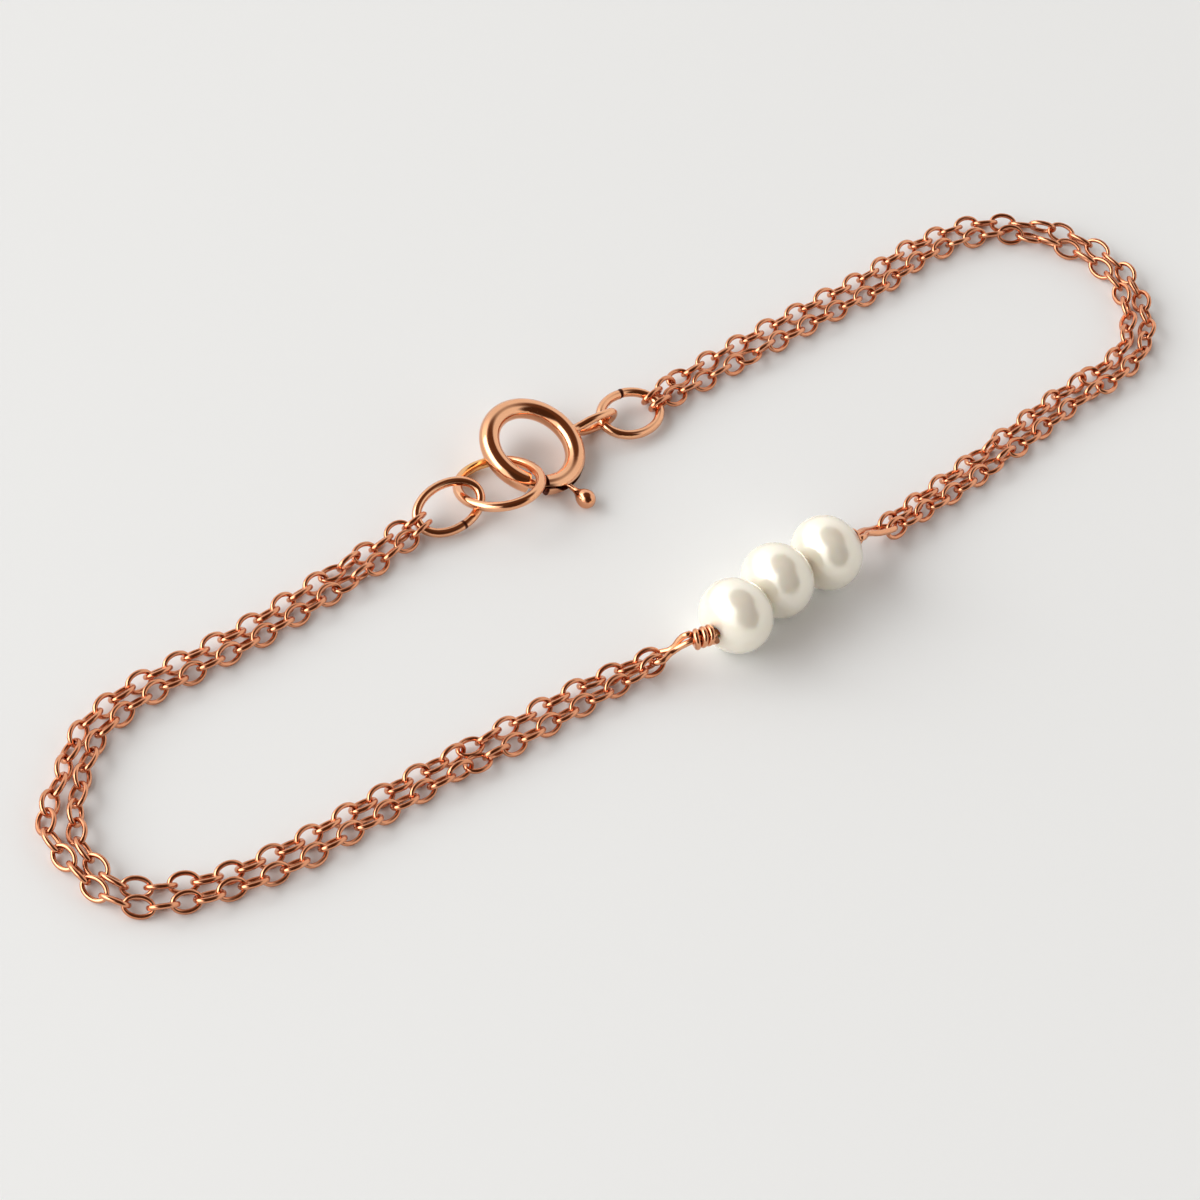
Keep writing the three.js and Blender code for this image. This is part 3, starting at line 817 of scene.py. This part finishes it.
# A pair's middle line: X, Y, height, and how far apart the two strands lie.
LEFT_ROUTE = [
    (-11.30, 6.05, 0.56, 1.00),
    (-13.90, 5.54, 0.46, 0.98),
    (-17.30, 5.09, 0.46, 1.00),
    (-21.90, 4.49, 0.46, 0.98),
    (-26.60, 4.21, 0.46, 0.98),
    (-29.00, 4.11, 0.46, 0.98),
    (-31.20, 3.69, 0.46, 1.00),
    (-32.90, 3.10, 0.46, 1.00),
    (-34.40, 1.99, 0.46, 1.02),
    (-35.90, 0.62, 0.46, 1.10),
    (-37.20, -0.72, 0.46, 1.45),
    (-37.75, -2.25, 0.46, 1.20),
    (-37.80, -3.45, 0.46, 1.02),
    (-37.75, -4.65, 0.46, 1.00),
    (-37.25, -5.90, 0.46, 1.10),
    (-36.25, -6.80, 0.46, 1.20),
    (-34.95, -7.30, 0.46, 1.20),
    (-32.90, -7.88, 0.46, 1.02),
    (-29.70, -8.26, 0.46, 1.08),
    (-24.80, -8.03, 0.46, 1.00),
    (-20.00, -7.81, 0.46, 1.00),
    (-14.90, -7.71, 0.46, 1.08),
    (-9.70, -7.48, 0.46, 0.98),
    (-6.60, -7.52, 0.50, 0.96),
]
RIGHT_ROUTE = [
    (7.75, 7.30, 0.56, 0.98),
    (9.90, 7.55, 0.46, 1.00),
    (12.30, 7.74, 0.46, 1.05),
    (15.90, 7.99, 0.46, 1.10),
    (20.80, 8.29, 0.46, 1.12),
    (24.80, 8.54, 0.46, 1.15),
    (27.60, 9.04, 0.46, 1.05),
    (29.90, 9.14, 0.46, 1.00),
    (32.30, 8.94, 0.46, 1.08),
    (34.00, 8.39, 0.46, 1.02),
    (35.40, 7.49, 0.46, 1.05),
    (36.60, 6.29, 0.46, 1.15),
    (37.40, 4.99, 0.46, 1.22),
    (37.90, 3.39, 0.46, 1.15),
    (37.95, 1.99, 0.46, 1.10),
    (37.50, 0.49, 0.46, 1.05),
    (36.80, -0.81, 0.46, 1.15),
    (35.70, -2.11, 0.46, 1.15),
    (34.10, -3.21, 0.46, 1.05),
    (31.80, -3.86, 0.46, 1.02),
    (28.30, -4.21, 0.46, 1.05),
    (23.80, -4.96, 0.46, 1.00),
    (18.80, -5.76, 0.46, 0.98),
    (12.90, -6.61, 0.50, 0.96),
]
# Each strand: its side of the pair's line, the points where a twist is laid into it, where it
# hooks the ring and the wire's eye, and how far over its first and last links are rolled.
STRANDS = {
    "chain_left_outer": {
        "route": LEFT_ROUTE,
        "side": 1,
        "twists": (2, 21),
        "ring": "jump_ring_left",
        "ring_angle": 167,
        "ring_lift": 0.08,
        "end": "left",
        "aside": -0.165,
        "first_roll": 66,
        "last_roll": 54,
        "seed": 3,
    },
    "chain_left_inner": {
        "route": LEFT_ROUTE,
        "side": -1,
        "twists": (2, 21),
        "ring": "jump_ring_left",
        "ring_angle": 193,
        "ring_lift": 0.03,
        "end": "left",
        "aside": 0.165,
        "first_roll": 66,
        "last_roll": 54,
        "seed": 11,
    },
    "chain_right_outer": {
        "route": RIGHT_ROUTE,
        "side": -1,
        "twists": (1, 11, 20, 22),
        "ring": "jump_ring_right",
        "ring_angle": 16,
        "ring_lift": 0.05,
        "end": "right",
        "aside": 0.165,
        "first_roll": -75,
        "last_roll": -52,
        "seed": 19,
    },
    "chain_right_inner": {
        "route": RIGHT_ROUTE,
        "side": 1,
        "twists": (3, 11, 20, 22),
        "ring": "jump_ring_right",
        "ring_angle": -16,
        "ring_lift": 0.05,
        "end": "right",
        "aside": -0.165,
        "first_roll": -75,
        "last_roll": -52,
        "seed": 27,
    },
}


def half_inside(tree, size, thickness):
    """Half of a link's outer size, measured to the middle of its wire."""
    return reckon(tree, "MULTIPLY", reckon(tree, "SUBTRACT", size, thickness), 0.5)


def made_larger(tree, radius, steps):
    """A coarse circle's radius, larger by as much as the later smoothing draws it in."""
    turn = reckon(tree, "DIVIDE", 2 * math.pi, steps)
    drawn_in = reckon(tree, "DIVIDE", reckon(tree, "ADD", reckon(tree, "COSINE", turn), 2.0), 3.0)
    return reckon(tree, "DIVIDE", radius, drawn_in)


def coarse_link(tree, given, half_long, half_wide):
    """One oval link with only a few faces, which is smoothed when it is in place."""
    steps, sides = given["Steps"], given["Sides"]
    long, wide = made_larger(tree, half_long, steps), made_larger(tree, half_wide, steps)
    stretch = add_node(tree, "ShaderNodeCombineXYZ", {"X": long, "Y": wide, "Z": 1.0}).outputs[0]
    round_line = {"Geometry": circle_of(tree, steps, 1.0), "Scale": stretch}
    oval = add_node(tree, "GeometryNodeTransform", round_line).outputs[0]
    wire_radius = reckon(tree, "MULTIPLY", given["Wire thickness"], 0.5)
    section = circle_of(tree, sides, made_larger(tree, wire_radius, sides))
    curves = {"Curve": oval, "Profile Curve": section}
    return add_node(tree, "GeometryNodeCurveToMesh", curves).outputs[0]


def loose_turn(tree, given, draw):
    """A small random turn for each link, as far as the looseness either way."""
    limits = {"Min": reckon(tree, "MULTIPLY", given["Looseness"], -1.0), "Max": given["Looseness"]}
    seed = {"Seed": reckon(tree, "ADD", given["Seed"], draw)}
    picked = add_node(tree, "FunctionNodeRandomValue", limits | seed, data_type="FLOAT")
    return picked.outputs["Value"]


def link_rolls(tree, given, count):
    """Each link's roll: half over to either side in turn, easing to those of the hooked links."""
    index = add_node(tree, "GeometryNodeInputIndex").outputs[0]
    from_last = reckon(tree, "SUBTRACT", reckon(tree, "SUBTRACT", count, 1.0), index)
    at_first = reckon(tree, "EXPONENT", reckon(tree, "MULTIPLY", index, -ROLL_EASE))
    at_last = reckon(tree, "EXPONENT", reckon(tree, "MULTIPLY", from_last, -ROLL_EASE))
    middling = reckon(tree, "SUBTRACT", reckon(tree, "SUBTRACT", 1.0, at_first), at_last)
    odd = reckon(tree, "MODULO", index, 2.0)
    lean = reckon(tree, "SUBTRACT", 1.0, reckon(tree, "MULTIPLY", odd, 2.0))
    half_over = reckon(tree, "MULTIPLY", reckon(tree, "SIGN", given["First roll"]), math.pi / 4)
    turns = [
        (lean, half_over),
        (at_first, reckon(tree, "SUBTRACT", given["First roll"], half_over)),
        (at_last, reckon(tree, "SUBTRACT", given["Last roll"], half_over)),
        (middling, loose_turn(tree, given, 0.0)),
    ]
    # A twist laid into the line turns every link after it.
    roll = add_node(tree, "GeometryNodeInputCurveTilt").outputs[0]
    for share, turn in turns:
        roll = reckon(tree, "ADD", roll, reckon(tree, "MULTIPLY", share, turn))
    return roll


def on_table(tree, given, centres, roll, half_wide):
    """The links' centres, each one at least as high above the table as its roll needs."""
    tipped = reckon(tree, "MULTIPLY", reckon(tree, "ABSOLUTE", reckon(tree, "SINE", roll)), half_wide)
    lowest = reckon(tree, "ADD", tipped, reckon(tree, "MULTIPLY", given["Wire thickness"], 0.5))
    position = add_node(tree, "GeometryNodeInputPosition").outputs[0]
    here = add_node(tree, "ShaderNodeSeparateXYZ", {0: position}).outputs
    height = reckon(tree, "MAXIMUM", here["Z"], lowest)
    rested = add_node(tree, "ShaderNodeCombineXYZ", {"X": here["X"], "Y": here["Y"], "Z": height})
    moved = {"Geometry": centres, "Position": rested.outputs[0]}
    return add_node(tree, "GeometryNodeSetPosition", moved).outputs[0]


def turned_on(tree, rotation, axis, angle):
    """A rotation with a further turn about one of its own axes."""
    angles = add_node(tree, "ShaderNodeCombineXYZ", {axis: angle}).outputs[0]
    turn = add_node(tree, "FunctionNodeEulerToRotation", {0: angles}).outputs[0]
    both = {"Rotation": rotation, "Rotate By": turn}
    return add_node(tree, "FunctionNodeRotateRotation", both, rotation_space="LOCAL").outputs[0]


def cable_chain_tree():
    """Threads oval links along a curve, each a quarter turn from the last."""
    lengths = ("Link length", "Link width", "Wire thickness", "Pitch")
    angles = ("First roll", "Last roll", "Looseness")
    sockets = {label: "Float" for label in lengths + angles}
    sockets |= {"Steps": "Int", "Sides": "Int", "Seed": "Int", "Finish": "Material"}
    tree, given = new_tree("cable chain", sockets)
    half_long = half_inside(tree, given["Link length"], given["Wire thickness"])
    half_wide = half_inside(tree, given["Link width"], given["Wire thickness"])
    # An odd number of links, so that the first and the last tip over the same way.
    line = given["Geometry"]
    length = add_node(tree, "GeometryNodeCurveLength", {"Curve": line}).outputs[0]
    fitted = reckon(tree, "DIVIDE", length, given["Pitch"])
    pairs = reckon(tree, "ROUND", reckon(tree, "DIVIDE", fitted, 2.0))
    count = reckon(tree, "ADD", reckon(tree, "MULTIPLY", pairs, 2.0), 1.0)
    centres = add_node(tree, "GeometryNodeResampleCurve", {"Curve": line, "Count": count}).outputs[0]
    roll = link_rolls(tree, given, count)
    # Each link points along the chain, level but for a small yaw, half as loose as the roll, and
    # then takes its roll about its own length.
    tangent = add_node(tree, "GeometryNodeInputTangent").outputs[0]
    pointed = add_node(tree, "FunctionNodeAlignRotationToVector", {"Vector": tangent}, axis="X")
    upright = {"Rotation": pointed.outputs[0], "Vector": UP}
    level = add_node(tree, "FunctionNodeAlignRotationToVector", upright, axis="Z", pivot_axis="X")
    yaw = reckon(tree, "MULTIPLY", loose_turn(tree, given, 1.0), 0.5)
    placed = {
        "Points": on_table(tree, given, centres, roll, half_wide),
        "Instance": coarse_link(tree, given, half_long, half_wide),
        "Rotation": turned_on(tree, turned_on(tree, level.outputs[0], "Z", yaw), "X", roll),
    }
    end_tree(tree, add_node(tree, "GeometryNodeInstanceOnPoints", placed).outputs[0], given["Finish"])
    return tree


def beside(route, side):
    """One strand's line: the pair's line moved over by half the distance between the two."""
    points = [Vector(row[:3]) for row in route]
    line = []
    for index, (*_, apart) in enumerate(route):
        along = points[min(index + 1, len(points) - 1)] - points[max(index - 1, 0)]
        across = Vector((along.y, -along.x, 0.0)).normalized()
        line.append(points[index] + across * side * (apart - PAIR_NESTING) / 2)
    return line


def hooked_centre(inner, further):
    """The centre of a link whose one end is at the inner point and which lies towards another."""
    return inner + (further - inner).normalized() * HOOK_REACH


CABLE_CHAIN = cable_chain_tree()
CHAIN_GOLD = rose_gold("chain rose gold", **CHAIN_TONE, smooth=0.10, worn=0.22, drawn=False)
for name, strand in STRANDS.items():
    line = beside(strand["route"], strand["side"])
    in_ring = oval_point(RINGS[strand["ring"]], math.radians(strand["ring_angle"]), RING_INSET)
    in_ring += UP * strand["ring_lift"]
    at, length = core_line(strand["end"])
    in_eye = at(length - EYE_INSET, strand["aside"], 0)
    points = [hooked_centre(in_ring, line[0])] + line[1:-1] + [hooked_centre(in_eye, line[-1])]
    twists = [sum(row >= after for after in strand["twists"]) for row in range(len(points))]
    tilts = [math.pi / 2 * count for count in twists]
    sizes = {
        "Link length": LINK_LENGTH * MM,
        "Link width": LINK_WIDTH * MM,
        "Wire thickness": LINK_THICKNESS * MM,
        "Pitch": LINK_PITCH * MM,
        "Steps": LINK_STEPS,
        "Sides": LINK_SIDES,
        "First roll": math.radians(strand["first_roll"]),
        "Last roll": math.radians(strand["last_roll"]),
        "Looseness": math.radians(LINK_LOOSENESS),
        "Seed": strand["seed"],
        "Finish": CHAIN_GOLD,
    }
    links = grown(smooth_line(name + "_line", points, tilts=tilts, between=16), CABLE_CHAIN, sizes)
    piece = make_piece(name + "_links", links, CHAIN_GOLD, crease=180.0)
    rounding = piece.modifiers.new("rounding", "SUBSURF")
    rounding.levels = rounding.render_levels = 2
    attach(piece, "bracelet")
    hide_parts(name)


# --------------------------------------------------------------------------- table and light
# A plain pale table under a large window at the left, with the room's dimmer light round
# it, and the camera at the height and side that the bracelet is looked at from.
TABLE_HALF = 0.6
TABLE_COLOUR = (0.885, 0.905, 0.915, 1.0)
corners = [(-1, -1), (1, -1), (1, 1), (-1, 1)]
table = bpy.data.meshes.new("table")
table.from_pydata([(x * TABLE_HALF, y * TABLE_HALF, 0.0) for x, y in corners], [], [(0, 1, 2, 3)])
paper, _, shader = new_material("pale table")
shader.inputs["Base Color"].default_value = TABLE_COLOUR
shader.inputs["Roughness"].default_value = 0.85
floor = make_piece("table", table, paper)

WINDOW_BEARING = math.radians(152)
WINDOW_HEIGHT = math.radians(30)
level_way = Vector((math.cos(WINDOW_BEARING), math.sin(WINDOW_BEARING), 0.0))
WINDOW_WAY = (level_way + UP * math.tan(WINDOW_HEIGHT)).normalized()
window = bpy.data.lights.new("window", "AREA")
window.shape = "RECTANGLE"
window.size = 1.2
window.size_y = 0.65
window.energy = 7.5
window.color = (1.0, 1.0, 0.985)
pane = bpy.data.objects.new("window", window)
pane.location = WINDOW_WAY
pane.rotation_mode = "QUATERNION"
pane.rotation_quaternion = WINDOW_WAY.to_track_quat("Z", "Y")
bpy.context.collection.objects.link(pane)

WALLS = (0.98, 0.99, 0.97)
LIT_WALL = (1.7, 1.7, 1.67)
CEILING = (0.13, 0.06, 0.03)
DARK_CORNER = (0.07, 0.035, 0.018)
CORNER_WAY = Vector((-0.2, -0.77, 0.6))


def facing(tree, way, direction):
    """How nearly a way points in a direction."""
    both = {0: way, 1: direction}
    return add_node(tree, "ShaderNodeVectorMath", both, operation="DOT_PRODUCT").outputs["Value"]


def between(tree, value, low, high):
    """How far a value is from low to high, eased, as a socket from 0 to 1."""
    inputs = {"Value": value, "From Min": low, "From Max": high}
    return add_node(tree, "ShaderNodeMapRange", inputs, interpolation_type="SMOOTHSTEP").outputs[0]


room = bpy.data.worlds.new("room")
bpy.context.scene.world = room
room.use_nodes = True
sky = room.node_tree
way = add_node(sky, "ShaderNodeTexCoord").outputs["Generated"]
height = add_node(sky, "ShaderNodeSeparateXYZ", {0: way}).outputs["Z"]
# Each part of the room is where a measure of the way goes from low to high.
parts = [
    (facing(sky, way, WINDOW_WAY), 0.35, 0.8, LIT_WALL),
    (height, 0.68, 0.84, CEILING),
    (facing(sky, way, CORNER_WAY), 0.72, 0.86, DARK_CORNER),
]
seen = WALLS
for measure, low, high, colour in parts:
    seen = towards(sky, between(sky, measure, low, high), seen, colour)
sky.links.new(seen, sky.nodes["Background"].inputs["Color"])
sky.nodes["Background"].inputs["Strength"].default_value = 1.0

CAMERA_PLACE = Vector((-113.07, -94.96, 148.49))
LOOKED_AT = Vector((-4.80, -2.49, 0.0))
CAMERA_ROLL = math.radians(14.43)
lens = bpy.data.cameras.new("camera")
lens.lens = 118.5
lens.sensor_width = 36.0
lens.clip_start = 0.01
lens.clip_end = 5.0
camera = bpy.data.objects.new("camera", lens)
camera.location = CAMERA_PLACE * MM
looking = (CAMERA_PLACE - LOOKED_AT).to_track_quat("Z", "Y").to_matrix()
camera.rotation_euler = (looking @ Matrix.Rotation(CAMERA_ROLL, 3, "Z")).to_euler()
bpy.context.collection.objects.link(camera)
bpy.context.scene.camera = camera
bpy.context.scene.view_settings.view_transform = "Standard"
